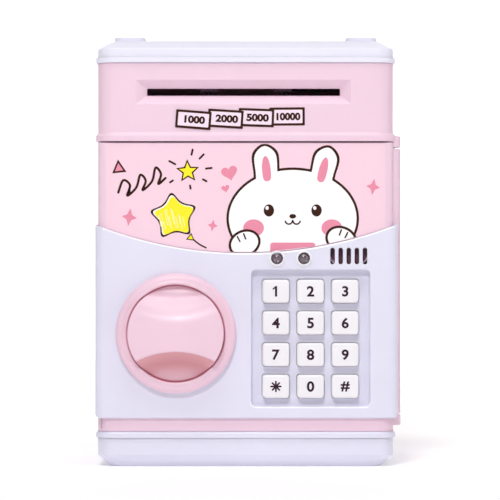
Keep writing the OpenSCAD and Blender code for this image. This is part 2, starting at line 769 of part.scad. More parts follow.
module led(x) translate([x, board_y[0], led_z]) rotate([90, 0, 0])
    rotate_extrude()
        polygon(concat([[0, 0], [led_r + 0.45, 0], [led_r + 0.45, 1], [led_r, 1]],
                       arc(0, led_l, led_r, 0, 90, 6)));

module red_led() color([0.55, 0.45, 0.5]) led(led_x[0]);
module green_led() color([0.55, 0.5, 0.5]) led(led_x[1]);

module led_bezels() color(white) for (x = led_x)
    translate([x, panel_y, led_z]) rotate([90, 0, 0]) rotate_extrude()
        polygon([[2.6, 0], [3.5, 0], [3.5, 0.5], [3.1, 0.9], [2.6, 0.9]]);

module speaker_frame() color(grey) translate([speaker[0], -55.7, speaker[1]]) rotate([-90, 0, 0])
    rotate_extrude() polygon([[speaker_r - 1.4, 0], [speaker_r, 0], [speaker_r, 2], [6, 3.4], [6, 6.6],
                              [0, 6.6], [0, 3], [5, 2.6], [speaker_r - 1.4, 1.2]]);

module speaker_cone() color(rubber) translate([speaker[0], -55.7, speaker[1]]) rotate([-90, 0, 0])
    rotate_extrude() polygon([[0, 1.2], [2.6, 1], [7.4, 0.2], [7.9, 0.2], [7.9, 0.9], [5, 1.8], [0, 2]]);

module cover_screws() color(steel) {
    for (p = pillars)
        translate([p[0], cover_y1 - 1.2, p[1]]) rotate([90, 0, 0]) screw(7.5, screw_r - 0.1, 2.5);
    translate([cover_ear[0], cover_y1 - 1.2, cover_ear[1]]) rotate([90, 0, 0])
        screw(6, screw_r - 0.1, 2.4);
}

// ---- knob and lock ----
// Each finger scoop is turned round an axis beyond the dial's rim, so that the grip is waisted
module grip_scoop(side) {
    top = dial_h - dial_gap;
    low = top - scoop_depth;
    foot = scoop_r - 7;
    translate([0, 0, side * (grip_edge + scoop_r)]) rotate([90, 0, 0]) rotate_extrude($fn = 120)
        polygon(concat([[0, low], [foot, low]], arc(foot, low + 4, 4, 270, 330, 5),
                       [[scoop_r, top], [scoop_r, top + 1], [0, top + 1]]));
}

module knob_dial() color(pink) translate([knob[0], panel_y - dial_gap, knob[1]]) difference() {
    rotate([90, 0, 0]) cylinder(h = dial_h - dial_gap, r = dial_r, $fn = 96);
    for (s = [-1, 1])
        grip_scoop(s);
    rotate([90, 0, 0]) translate([0, 0, -1]) cylinder(h = 1.6, r = spindle_r + 0.01);
}

module knob_spindle() color(white) difference() {
    union() {
        rod_y(knob, spindle_r, [panel_y - dial_gap - 0.6, tongue_y[0]]);
        rod_y(knob, 2.5, [tongue_y[0] - 0.5, tongue_y[1]]);
    }
    rod_y(knob, screw_r - 0.1, [-41, 0]);
}

module lock_disc() color(nylon) difference() {
    rod_y(knob, disc_r, disc_y);
    rod_y(knob, spindle_r, disc_y + [-1, 1]);
    block(span(knob[0], notch_w / 2), disc_y + [-1, 1], [knob[1] + disc_r - 3.8, knob[1] + disc_r + 1]);
    block([knob[0] + disc_r - 3.8, knob[0] + disc_r + 1], disc_y + [-1, 1], span(knob[1], notch_w / 2));
}

module latch_tongue() color(steel) difference() {
    union() {
        rod_y(knob, 6, tongue_y);
        upright(tongue_y)
            polygon(concat([[knob[0] + tongue_w / 2, knob[1]]],
                           arc(knob[0], knob[1] + tongue_l - tongue_w / 2, tongue_w / 2, 0, 180, 8),
                           [[knob[0] - tongue_w / 2, knob[1]]]));
    }
    rod_y(knob, 2.5, tongue_y + [-1, 1]);
}

module spindle_screw() color(steel)
    translate([knob[0], tongue_y[1], knob[1]]) rotate([90, 0, 0]) screw(8, screw_r - 0.1, 4);

module lock_frame() color(steel) difference() {
    block(span(knob[0], 7), span(plunger_y, 5.2), lock_frame_z);
    block(span(knob[0], 8), [plunger_y - 6, plunger_y + 4.2], lock_frame_z + [1.2, -1.2]);
    rod_z([knob[0], plunger_y], plunger_r + 0.1, lock_frame_z + [-1, 1]);
}

module lock_coil() color([0.65, 0.3, 0.18]) difference() {
    rod_z([knob[0], plunger_y], 4.1, lock_frame_z + [1.2, -1.2]);
    rod_z([knob[0], plunger_y], plunger_r + 0.1, lock_frame_z + [-1, 1]);
}

module lock_plunger() color(steel) union() {
    rod_z([knob[0], plunger_y], plunger_r, [plunger_tip_z, lock_frame_z[1] - 2]);
    rod_z([knob[0], plunger_y], 2.6, collar_z);
}

// Compression spring between the plunger's collar and the lock frame, as a stack of rings
module plunger_spring() color(steel) for (i = [0:3])
    translate([knob[0], plunger_y, collar_z[1] + 0.4 + i * 0.8])
        rotate_extrude() translate([2.05, 0]) circle(0.3, $fn = 16);

// ---- keys ----
function key_centre(i) = pad + [(i % 3 - 1) * key_pitch_x, (1.5 - floor(i / 3)) * key_pitch_z];

module key(i) color(white) difference() {
    c = key_centre(i);
    flange_y = panel_y + tub_depth + tub_wall + 0.1;
    union() {
        upright_plate(c, [key_w, key_h], 1.4, [key_front_y, flange_y + 0.1]);
        upright_plate(c, [key_w, key_h] + key_flange[0] * [1, 1], 1.4,
                      [flange_y, flange_y + key_flange[1]]);
    }
    upright_plate(c, [key_w - 3, key_h - 3], 1, [key_front_y + 1.6, flange_y + 2]);
}

body_shell();
doorway_frame();
top_cap();
base_tray();
feeder_chassis();
bill_guide();
motor();
gear_axle();
bill_sensor();
hinge_pins();
base_screws();
cap_screws();
chassis_screws();
drive_shaft();
drive_rollers();
drive_gear();
drive_pair_gear();
pinch_shaft();
pinch_rollers();
pinch_gear();
reduction_gear();
motor_shaft();
motor_pinion();
door_shell();
front_panel();
print_panel();
knob_ring();
inner_cover();
battery_cover();
battery_cells();
battery_contacts();
key_membrane();
circuit_board();
red_led();
green_led();
led_bezels();
speaker_frame();
speaker_cone();
cover_screws();
lock_coil();
lock_frame();
knob_dial();
knob_spindle();
lock_disc();
latch_tongue();
spindle_screw();
lock_plunger();
plunger_spring();
key(0);  // key_1
key(1);  // key_2
key(2);  // key_3
key(3);  // key_4
key(4);  // key_5
key(5);  // key_6
key(6);  // key_7
key(7);  // key_8
key(8);  // key_9
key(9);  // key_star
key(10);  // key_0
key(11);  // key_hash
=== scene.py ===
import math

import bmesh
import bpy
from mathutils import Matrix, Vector


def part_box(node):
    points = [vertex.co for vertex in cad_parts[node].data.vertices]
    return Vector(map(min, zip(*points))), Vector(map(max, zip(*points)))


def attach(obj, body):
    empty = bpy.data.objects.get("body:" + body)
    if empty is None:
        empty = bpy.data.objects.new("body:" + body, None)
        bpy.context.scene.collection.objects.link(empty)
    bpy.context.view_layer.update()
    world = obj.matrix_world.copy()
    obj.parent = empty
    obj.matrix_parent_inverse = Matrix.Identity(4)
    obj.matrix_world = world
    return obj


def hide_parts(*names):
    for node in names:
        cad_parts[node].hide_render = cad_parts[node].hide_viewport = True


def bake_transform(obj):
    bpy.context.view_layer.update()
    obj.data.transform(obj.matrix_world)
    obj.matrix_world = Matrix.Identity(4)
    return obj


# A toy safe money bank. Lengths are in millimetres until a mesh is made, +Z is up and the door faces -Y.
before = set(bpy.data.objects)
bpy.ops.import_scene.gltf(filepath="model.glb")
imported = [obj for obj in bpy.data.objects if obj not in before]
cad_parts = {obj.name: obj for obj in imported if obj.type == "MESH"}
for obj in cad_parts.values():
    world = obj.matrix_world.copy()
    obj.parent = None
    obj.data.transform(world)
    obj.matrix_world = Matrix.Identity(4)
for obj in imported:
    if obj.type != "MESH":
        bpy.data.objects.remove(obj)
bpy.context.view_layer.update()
MM = 0.001


# ---- colours, as linear light ----
PINK = (0.825, 0.600, 0.715)
PINK_KNOB = (0.820, 0.580, 0.690)
# Painted shade: the darker, rosier pink of the dial's lower scoop
SCOOP_SHADE_PINK = (0.700, 0.340, 0.375)
PRINT_PINK = (0.885, 0.610, 0.710)
LILAC = (0.735, 0.722, 0.850)
CAP_LILAC = (0.800, 0.785, 0.900)
WHITE = (0.840, 0.820, 0.850)
INK = (0.045, 0.012, 0.006)
INK_KEY = (0.040, 0.014, 0.026)
ROSE = (0.800, 0.270, 0.380)
YELLOW = (0.950, 0.830, 0.030)
BLACK = (0.020, 0.018, 0.022)
PLUM = (0.330, 0.200, 0.270)
MAROON = (0.130, 0.050, 0.075)
NYLON = (0.780, 0.770, 0.680)


# ---- materials ----
def new_material(name):
    material = bpy.data.materials.new(name)
    material.use_nodes = True
    return material, material.node_tree, material.node_tree.nodes["Principled BSDF"]


def add_node(tree, kind, **inputs):
    node = tree.nodes.new(kind)
    for key, value in inputs.items():
        node.inputs[key.replace("_", " ")].default_value = value
    return node


def noise(tree, scale, detail=3.0, stretch=(1, 1, 1)):
    """Noise in the object's own coordinates, so that it stays put when the piece moves."""
    place = tree.nodes.new("ShaderNodeTexCoord")
    mapping = add_node(tree, "ShaderNodeMapping", Scale=stretch)
    tree.links.new(place.outputs["Object"], mapping.inputs["Vector"])
    texture = add_node(tree, "ShaderNodeTexNoise", Scale=scale, Detail=detail)
    tree.links.new(mapping.outputs["Vector"], texture.inputs["Vector"])
    return texture.outputs["Fac"]


def vary(tree, source, low, high, target):
    """target runs from low to high over the middle of the noise."""
    spread = add_node(tree, "ShaderNodeMapRange")
    spread.inputs["From Min"].default_value = 0.3
    spread.inputs["From Max"].default_value = 0.7
    spread.inputs["To Min"].default_value = low
    spread.inputs["To Max"].default_value = high
    tree.links.new(source, spread.inputs["Value"])
    tree.links.new(spread.outputs["Result"], target)


def tint(tree, source, colour, spread, target):
    """target's colour is a little lighter and darker than colour, by the noise."""
    ramp = tree.nodes.new("ShaderNodeValToRGB")
    ramp.color_ramp.elements[0].position = 0.3
    ramp.color_ramp.elements[1].position = 0.7
    ramp.color_ramp.elements[0].color = [min(1, c * (1 - spread)) for c in colour] + [1]
    ramp.color_ramp.elements[1].color = [min(1, c * (1 + spread)) for c in colour] + [1]
    tree.links.new(source, ramp.inputs["Fac"])
    tree.links.new(ramp.outputs["Color"], target)


def bump(tree, source, depth, shader):
    relief = add_node(tree, "ShaderNodeBump", Strength=1.0, Distance=depth)
    tree.links.new(source, relief.inputs["Height"])
    tree.links.new(relief.outputs["Normal"], shader.inputs["Normal"])


GRAIN_DEPTH = 0.000012      # of spark-eroded plastic, in metres


def moulded_plastic(name, colour, roughness=0.42, coat=0.0, bleed=0.0):
    """Injection-moulded plastic: a fine spark-eroded grain, soft flow clouds and uneven polish."""
    material, tree, shader = new_material(name)
    tint(tree, noise(tree, 35.0), colour, 0.012, shader.inputs["Base Color"])
    vary(tree, noise(tree, 120.0, 5.0), roughness - 0.05, roughness + 0.06, shader.inputs["Roughness"])
    bump(tree, noise(tree, 3200.0, 2.0), GRAIN_DEPTH, shader)
    shader.inputs["IOR"].default_value = 1.5
    shader.inputs["Coat Weight"].default_value = coat
    shader.inputs["Coat Roughness"].default_value = 0.12
    if bleed:
        shader.inputs["Subsurface Weight"].default_value = bleed
        shader.inputs["Subsurface Radius"].default_value = (0.0020, 0.0012, 0.0012)
        shader.inputs["Subsurface Scale"].default_value = 1.0
    return material


def scoop_shade_plastic(name, rim_colour, shade_colour, rim_z, deep_z):
    """Plastic painted rosier and darker from rim_z to deep_z, in metres: painted shade in place of the light
    that bounces in a scoop.
    """
    material = moulded_plastic(name, shade_colour, roughness=0.34, bleed=0.08)
    tree = material.node_tree
    shader = tree.nodes["Principled BSDF"]
    place = tree.nodes.new("ShaderNodeTexCoord")
    parts = tree.nodes.new("ShaderNodeSeparateXYZ")
    fade = add_node(tree, "ShaderNodeMapRange")
    fade.inputs["From Min"].default_value = rim_z
    fade.inputs["From Max"].default_value = deep_z
    blend = tree.nodes.new("ShaderNodeMix")
    blend.data_type = "RGBA"
    blend.inputs["A"].default_value = [*rim_colour, 1]
    clouds = shader.inputs["Base Color"].links[0].from_socket
    tree.links.new(place.outputs["Object"], parts.inputs["Vector"])
    tree.links.new(parts.outputs["Z"], fade.inputs["Value"])
    tree.links.new(fade.outputs["Result"], blend.inputs["Factor"])
    tree.links.new(clouds, blend.inputs["B"])
    tree.links.new(blend.outputs["Result"], shader.inputs["Base Color"])
    return material


def printed_ink(name, colour, spread=0.02):
    """Screen-printed ink: matt and slightly uneven."""
    material, tree, shader = new_material(name)
    tint(tree, noise(tree, 500.0, 4.0), colour, spread, shader.inputs["Base Color"])
    vary(tree, noise(tree, 900.0), 0.45, 0.58, shader.inputs["Roughness"])
    shader.inputs["Specular IOR Level"].default_value = 0.12
    return material


def printed_film(name, colour):
    """Pink film behind a clear print: fine vertical streaks left by the printer."""
    material, tree, shader = new_material(name)
    tint(tree, noise(tree, 260.0, 3.0, (1, 1, 0.02)), colour, 0.005, shader.inputs["Base Color"])
    vary(tree, noise(tree, 500.0), 0.30, 0.38, shader.inputs["Roughness"])
    return material


def metal(name, colour, roughness=0.3, brushed=(1, 1, 1)):
    material, tree, shader = new_material(name)
    tint(tree, noise(tree, 220.0, 4.0, brushed), colour, 0.06, shader.inputs["Base Color"])
    vary(tree, noise(tree, 700.0, 4.0, brushed), roughness - 0.08, roughness + 0.1,
         shader.inputs["Roughness"])
    bump(tree, noise(tree, 1800.0, 3.0, brushed), 0.000004, shader)
    shader.inputs["Metallic"].default_value = 1.0
    return material


def rubber(name, colour, roughness=0.75):
    material, tree, shader = new_material(name)
    tint(tree, noise(tree, 300.0, 5.0), colour, 0.12, shader.inputs["Base Color"])
    vary(tree, noise(tree, 800.0), roughness - 0.08, roughness + 0.08, shader.inputs["Roughness"])
    bump(tree, noise(tree, 2400.0), 0.00002, shader)
    return material


def light_lens(name, colour):
    """An unlit indicator light: smoky clear resin with bright flecks painted into its colour, a painted
    reflection that stands in for glints of its reflector cup.
    """
    material, tree, shader = new_material(name)
    cells = add_node(tree, "ShaderNodeTexVoronoi", Scale=700.0)
    place = tree.nodes.new("ShaderNodeTexCoord")
    tree.links.new(place.outputs["Object"], cells.inputs["Vector"])
    # Painted reflection: pale flecks at the middle of each cell
    ramp = tree.nodes.new("ShaderNodeValToRGB")
    ramp.color_ramp.elements[0].position = 0.0
    ramp.color_ramp.elements[0].color = (0.80, 0.74, 0.80, 1)
    ramp.color_ramp.elements[1].position = 0.36
    ramp.color_ramp.elements[1].color = [*colour, 1]
    tree.links.new(cells.outputs["Distance"], ramp.inputs["Fac"])
    tree.links.new(ramp.outputs["Color"], shader.inputs["Base Color"])
    shader.inputs["Roughness"].default_value = 0.05
    shader.inputs["Specular IOR Level"].default_value = 0.9
    shader.inputs["Coat Weight"].default_value = 1.0
    shader.inputs["Coat Roughness"].default_value = 0.03
    return material


MATERIALS = {
    "pink_abs": moulded_plastic("pink_abs", PINK, bleed=0.06),
    "pink_ring": moulded_plastic("pink_ring", PINK_KNOB, roughness=0.34, bleed=0.08),
    # painted shade for the dial's lower scoop, darkest under the grip bar and lighter toward the rim
    "painted_scoop_shade": scoop_shade_plastic("painted_scoop_shade", PINK_KNOB, SCOOP_SHADE_PINK, 0.0375, 0.0455),
    # Painted shade for the narrow gap between the dial and its ring
    "painted_gap_shade": moulded_plastic("painted_gap_shade", (0.75, 0.30, 0.38), roughness=0.34, bleed=0.08),
    "lilac_abs": moulded_plastic("lilac_abs", LILAC, roughness=0.40, bleed=0.05),
    # Painted highlight: a paler, glossier lilac for the top edge's roll
    "painted_lip_highlight": moulded_plastic("painted_lip_highlight", (0.90, 0.89, 0.94), roughness=0.30, coat=0.3),
    "cap_lilac": moulded_plastic("cap_lilac", CAP_LILAC, roughness=0.40, bleed=0.05),
    "white_abs": moulded_plastic("white_abs", WHITE, roughness=0.45),
    "key_white": moulded_plastic("key_white", WHITE, roughness=0.38, bleed=0.05),
    "plum_abs": moulded_plastic("plum_abs", PLUM, roughness=0.55),
    "print_film": printed_film("print_film", PRINT_PINK),
    "nylon": moulded_plastic("nylon", NYLON, roughness=0.35, bleed=0.1),
    "steel": metal("steel", (0.62, 0.62, 0.63), 0.32),
    "steel_shaft": metal("steel_shaft", (0.68, 0.68, 0.70), 0.22, (1, 12, 12)),
    "motor_can": metal("motor_can", (0.60, 0.60, 0.61), 0.28, (0.1, 1, 1)),
    "roller_rubber": rubber("roller_rubber", (0.230, 0.130, 0.190)),
    "membrane_rubber": rubber("membrane_rubber", (0.60, 0.60, 0.66), 0.6),
    "sensor_black": moulded_plastic("sensor_black", BLACK, roughness=0.3),
    "circuit_green": moulded_plastic("circuit_green", (0.012, 0.110, 0.045), roughness=0.3, coat=0.4),
    "led_red": light_lens("led_red", (0.115, 0.062, 0.092)),
    "led_green": light_lens("led_green", (0.110, 0.072, 0.095)),
    "speaker_steel": moulded_plastic("speaker_steel", MAROON, roughness=0.6),
    "cone_black": rubber("cone_black", MAROON, 0.6),
    "cell_wrap": moulded_plastic("cell_wrap", (0.020, 0.130, 0.075), roughness=0.25, coat=0.6),
    "contact_steel": metal("contact_steel", (0.70, 0.70, 0.66), 0.25),
    "copper": metal("copper", (0.62, 0.24, 0.10), 0.3, (1, 1, 12)),
    "ink": printed_ink("ink", INK),
    "key_ink": printed_ink("key_ink", INK_KEY),
    "rose_ink": printed_ink("rose_ink", ROSE),
    "yellow_ink": printed_ink("yellow_ink", YELLOW),
    "white_ink": printed_ink("white_ink", (0.95, 0.94, 0.95), 0.008),
    "star_streak_ink": printed_ink("star_streak_ink", (0.95, 0.88, 0.42)),
    "note_ink": printed_ink("note_ink", (0.87, 0.72, 0.83)),
}


# ---- outlines in X and Z ----
def around(segments):
    """The angles of a full turn, without its end."""
    return [2 * math.pi * i / segments for i in range(segments)]


def arc(cx, cz, rx, rz, a0, a1, steps):
    """Points from a0 to a1 degrees, both included."""
    angles = [math.radians(a0 + (a1 - a0) * i / steps) for i in range(steps + 1)]
    return [(cx + rx * math.cos(a), cz + rz * math.sin(a)) for a in angles]


def ellipse(cx, cz, rx, rz, steps=64):
    return arc(cx, cz, rx, rz, 0, 360, steps)[:-1]


def rounded_rect(w, h, r, steps=6):
    x, z = w / 2 - r, h / 2 - r
    points = []
    for i, (cx, cz) in enumerate(((x, z), (-x, z), (-x, -z), (x, -z))):
        points += arc(cx, cz, r, r, 90 * i, 90 * i + 90, steps)
    return points


def placed(points, cx, cz, tilt=0.0, scale=1.0):
    c, s = math.cos(math.radians(tilt)) * scale, math.sin(math.radians(tilt)) * scale
    return [(cx + x * c - z * s, cz + x * s + z * c) for x, z in points]


MOST_OF_A_SIDE = 0.48       # that one softened corner may use up


def softened(points, r, steps=4):
    """Each corner of a closed outline becomes a curve that starts r before it."""
    out = []
    for i, p in enumerate(points):
        corner = Vector(p)
        before = Vector(points[i - 1]) - corner
        after = Vector(points[(i + 1) % len(points)]) - corner
        a = corner + before.normalized() * min(r, before.length * MOST_OF_A_SIDE)
        b = corner + after.normalized() * min(r, after.length * MOST_OF_A_SIDE)
        for k in range(steps + 1):
            t = k / steps
            out.append(tuple(a * (1 - t) ** 2 + corner * 2 * t * (1 - t) + b * t ** 2))
    return out


def star(r_out, r_in, points=5):
    angles = [math.radians(90 + 180 * i / points) for i in range(2 * points)]
    radii = [r_out if i % 2 == 0 else r_in for i in range(2 * points)]
    return [(r * math.cos(a), r * math.sin(a)) for r, a in zip(radii, angles)]


def heart(width, steps=48):
    out = []
    for i in range(steps):
        t = 2 * math.pi * i / steps
        x = 16 * math.sin(t) ** 3
        z = 13 * math.cos(t) - 5 * math.cos(2 * t) - 2 * math.cos(3 * t) - math.cos(4 * t)
        out.append((x * width / 32, z * width / 32))
    return out[::-1]


def curve_through(points, steps=8, closed=False):
    """Catmull-Rom curve through the points."""
    pts = [Vector(p) for p in points]
    n = len(pts)
    out = []
    for i in range(n if closed else n - 1):
        if closed:
            p0, p1, p2, p3 = pts[i - 1], pts[i], pts[(i + 1) % n], pts[(i + 2) % n]
        else:
            p0, p1, p2, p3 = pts[max(i - 1, 0)], pts[i], pts[i + 1], pts[min(i + 2, n - 1)]
        for k in range(steps):
            t = k / steps
            out.append(tuple(0.5 * (2 * p1 + (p2 - p0) * t + (2 * p0 - 5 * p1 + 4 * p2 - p3) * t ** 2
                                    + (3 * p1 - p0 - 3 * p2 + p3) * t ** 3)))
    return out if closed else out + [tuple(pts[-1])]


# ---- meshes ----
def make_piece(bm, name, material, smooth_below=30.0):
    """Turns a bmesh in millimetres into a piece; only edges under smooth_below degrees are smooth."""
    bmesh.ops.recalc_face_normals(bm, faces=bm.faces)
    bmesh.ops.scale(bm, vec=(MM, MM, MM), verts=bm.verts)
    mesh = bpy.data.meshes.new(name)
    bm.to_mesh(mesh)
    bm.free()
    mesh.shade_smooth()
    mesh.set_sharp_from_angle(angle=math.radians(smooth_below))
    piece = bpy.data.objects.new(name, mesh)
    bpy.context.scene.collection.objects.link(piece)
    mesh.materials.append(MATERIALS[material])
    return piece


def finish_mesh(bm, name, body, material, smooth_below=30.0):
    """A piece that rides on a body."""
    piece = make_piece(bm, name, material, smooth_below)
    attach(piece, body)
    return piece


def skin(bm, loops):
    """Faces between each loop of vertices and the next."""
    n = len(loops[0])
    for a, b in zip(loops, loops[1:]):
        for i in range(n):
            bm.faces.new((a[i], a[(i + 1) % n], b[(i + 1) % n], b[i]))


def add_loft(bm, rings):
    """Skins rings of equal length and closes both ends."""
    loops = [[bm.verts.new(p) for p in ring] for ring in rings]
    skin(bm, loops)
    bm.faces.new(loops[0][::-1])
    bm.faces.new(loops[-1])


def add_prism(bm, outline, y0, y1):
    add_loft(bm, [[(x, y, z) for x, z in outline] for y in (y0, y1)])


def add_lathe(bm, profile, centre, along, segments=96):
    """Revolves a closed profile of (radius, distance) round an axis through centre."""
    turn = Vector((0, 0, 1)).rotation_difference(Vector(along)).to_matrix()
    rings = []
    for r, d in profile:
        rings.append([bm.verts.new(Vector(centre) + turn @ Vector((r * math.cos(a), r * math.sin(a), d)))
                      for a in around(segments)])
    skin(bm, rings + rings[:1])


def add_stroke(bm, points, width, y0, y1):
    """A flat pen line of even width along the points, with round ends."""
    pts = [Vector(p) for p in points]
    last = len(pts) - 1
    left, right, heading = [], [], []
    for i, p in enumerate(pts):
        along = (pts[min(i + 1, last)] - pts[max(i - 1, 0)]).normalized()
        across = Vector((-along.y, along.x)) * width / 2
        left.append(tuple(p + across))
        right.append(tuple(p - across))
        heading.append(math.degrees(math.atan2(along.y, along.x)))
    tail = arc(*pts[0], width / 2, width / 2, heading[0] + 90, heading[0] + 270, 6)
    nose = arc(*pts[-1], width / 2, width / 2, heading[-1] - 90, heading[-1] + 90, 6)
    add_prism(bm, tail[1:-1] + right + nose[1:-1] + left[::-1], y0, y1)


def text_outline_piece(name, text, height, cx, cz, y, body, ink, bold=0.0, tilt=0.0, depth=0.05,
                       widen=1.0):
    """Flat printed characters, centred on (cx, cz), that face -Y."""
    curve = bpy.data.curves.new(name, "FONT")
    curve.body = text
    curve.size = 1.0
    curve.offset = bold
    curve.extrude = 0.0
    curve.resolution_u = 8
    holder = bpy.data.objects.new(name + "_outline", curve)
    bpy.context.scene.collection.objects.link(holder)
    bpy.context.view_layer.update()
    depsgraph = bpy.context.evaluated_depsgraph_get()
    flat = bpy.data.meshes.new_from_object(holder.evaluated_get(depsgraph))
    bpy.data.objects.remove(holder)
    bm = bmesh.new()
    bm.from_mesh(flat)
    bmesh.ops.remove_doubles(bm, verts=bm.verts, dist=1e-5)
    low = [min(v.co[i] for v in bm.verts) for i in (0, 1)]
    high = [max(v.co[i] for v in bm.verts) for i in (0, 1)]
    k = height / (high[1] - low[1])
    c, s = math.cos(math.radians(tilt)), math.sin(math.radians(tilt))
    for v in bm.verts:
        u = (v.co.x - (low[0] + high[0]) / 2) * k * widen
        w = (v.co.y - (low[1] + high[1]) / 2) * k
        v.co = (cx + u * c - w * s, y, cz + u * s + w * c)
    grown = bmesh.ops.extrude_face_region(bm, geom=bm.faces[:], use_keep_orig=True)
    front = [g for g in grown["geom"] if isinstance(g, bmesh.types.BMVert)]
    bmesh.ops.translate(bm, vec=(0, -depth, 0), verts=front)
    return finish_mesh(bm, name, body, ink)


# ---- CAD nodes that keep their shape: their edges are broken and they get a material ----
KEEP_TRIANGLES = ("top_cap",)     # a face with a hole in it can shade black when its triangles are dissolved
WELD_DISTANCE = 0.005
FLAT_ANGLE = 0.6
BEVEL_ANGLE = 35
BEVEL_SEGMENTS = 2


def dress(node, material, edge):
    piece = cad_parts[node]
    mesh = piece.data
    mesh.materials.clear()
    mesh.materials.append(MATERIALS[material])
    if not edge:
        return
    if "custom_normal" in mesh.attributes:
        mesh.attributes.remove(mesh.attributes["custom_normal"])
    mesh.shade_smooth()
    weld = piece.modifiers.new("weld", "WELD")
    weld.merge_threshold = WELD_DISTANCE * MM
    if node not in KEEP_TRIANGLES:
        flatten = piece.modifiers.new("flatten", "DECIMATE")
        flatten.decimate_type = "DISSOLVE"
        flatten.angle_limit = math.radians(FLAT_ANGLE)
    bevel = piece.modifiers.new("break_edges", "BEVEL")
    bevel.width = edge * MM
    bevel.segments = BEVEL_SEGMENTS
    bevel.limit_method = "ANGLE"
    bevel.angle_limit = math.radians(BEVEL_ANGLE)
    bevel.use_clamp_overlap = False
    bevel.harden_normals = True


# Node, material and width of its broken edges
NODE_LOOKS = [
    ("body_shell", "pink_abs", 0.35), ("doorway_frame", "pink_abs", 0.3),
    ("door_shell", "pink_abs", 0.35), ("top_cap", "cap_lilac", 0.5),
    ("base_tray", "lilac_abs", 0.5), ("print_panel", "print_film", 0.0),
    ("inner_cover", "white_abs", 0.3), ("battery_cover", "white_abs", 0.25),
    ("feeder_chassis", "plum_abs", 0.0), ("bill_guide", "plum_abs", 0.0),
    ("bill_sensor", "sensor_black", 0.0),
    ("motor", "motor_can", 0.0), ("motor_shaft", "steel_shaft", 0.0), ("motor_pinion", "steel", 0.0),
    ("gear_axle", "steel_shaft", 0.0), ("drive_shaft", "steel_shaft", 0.0),
    ("pinch_shaft", "steel_shaft", 0.0),
    ("drive_gear", "nylon", 0.0), ("drive_pair_gear", "nylon", 0.0), ("pinch_gear", "nylon", 0.0),
    ("reduction_gear", "nylon", 0.0), ("hinge_pins", "steel_shaft", 0.0), ("base_screws", "steel", 0.0),
    ("cap_screws", "steel", 0.0), ("chassis_screws", "steel", 0.0), ("cover_screws", "steel", 0.0),
    ("battery_cells", "cell_wrap", 0.0), ("battery_contacts", "contact_steel", 0.0),
    ("key_membrane", "membrane_rubber", 0.0), ("circuit_board", "circuit_green", 0.0),
    ("speaker_frame", "speaker_steel", 0.0), ("speaker_cone", "cone_black", 0.0),
    ("lock_coil", "copper", 0.0), ("lock_frame", "steel", 0.0), ("knob_spindle", "nylon", 0.0),
    ("lock_disc", "nylon", 0.0), ("latch_tongue", "steel", 0.2), ("spindle_screw", "steel", 0.0),
    ("lock_plunger", "steel_shaft", 0.0),
]
for node_name, look, broken_edge in NODE_LOOKS:
    dress(node_name, look, broken_edge)


def box_mm(node):
    """A node's lowest corner, highest corner and middle."""
    low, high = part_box(node)
    return low / MM, high / MM, (low + high) / 2 / MM


# ---- knob ----
def smooth_max(a, b, k):
    h = max(k - abs(a - b), 0.0) / k
    return max(a, b) + h * h * k / 4


def smooth_min(a, b, k):
    return -smooth_max(-a, -b, k)


def knob_dial():
    """The dial's front as a height field: a waisted grip between two scoops."""
    low, high, mid = box_mm("knob_dial")
    radius = (high.x - low.x) / 2
    front, back = low.y, high.y
    scoop_axis, scoop_r, scoop_depth, floor_round = 45.65, 38.0, 8.8, 4.0
    slope, crest_round = {-1: 1.25, 1: 0.85}, {-1: 0.4, 1: 4.6}     # -1 is the lower scoop, 1 the upper
    rim, flange, flange_thick = 0.7, 0.22, 2.6
    gap_shade_band, shade_from = 0.25, 0.4         # width of the outer band, which gets painted gap shade, and depth from which the lower scoop gets painted shade
    rings, crowding, segments = 84, 0.8, 240

    def depth(x, z):
        side = 1 if z > 0 else -1
        inside = scoop_r - math.hypot(x, z - side * scoop_axis)
        wall = smooth_max(slope[side] * inside, 0.0, crest_round[side])
        return smooth_min(wall, scoop_depth, floor_round)

    bm = bmesh.new()
    loops = []
    for k in range(1, rings + 1):
        r = radius * (k / rings) ** crowding
        over = max(0.0, r - (radius - rim))
        edge = rim - math.sqrt(max(0.0, rim * rim - over * over))
        loop = []
        for a in around(segments):
            x, z = r * math.cos(a), r * math.sin(a)
            loop.append(bm.verts.new((mid.x + x, front + depth(x, z) + edge, mid.z + z)))
        loops.append(loop)
    edge_loop = loops[-1]
    flange_r, flange_front = radius + flange, back - flange_thick
    for r, y in ((radius, flange_front), (flange_r, flange_front), (flange_r, back)):
        loops.append([bm.verts.new((mid.x + r * math.cos(a), max(y, v.co.y), mid.z + r * math.sin(a)))
                      for v, a in zip(edge_loop, around(segments))])
    centre = bm.verts.new((mid.x, front, mid.z))
    for i in range(segments):
        bm.faces.new((centre, loops[0][(i + 1) % segments], loops[0][i]))
    skin(bm, loops)
    bm.faces.new(loops[-1])
    piece = finish_mesh(bm, "dial", "knob", "pink_ring", 40.0)
    piece.data.materials.append(MATERIALS["painted_scoop_shade"])
    piece.data.materials.append(MATERIALS["painted_gap_shade"])
    for face in piece.data.polygons:
        middle = face.center / MM
        x, z = middle.x - mid.x, middle.z - mid.z
        # The dial's outermost band gets painted shade, for the gap round it.
        if math.hypot(x, z) > radius - gap_shade_band:
            face.material_index = 2
        # The deep faces of the lower scoop get painted shade.
        elif z < 0 and depth(x, z) > shade_from:
            face.material_index = 1
    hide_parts("knob_dial")


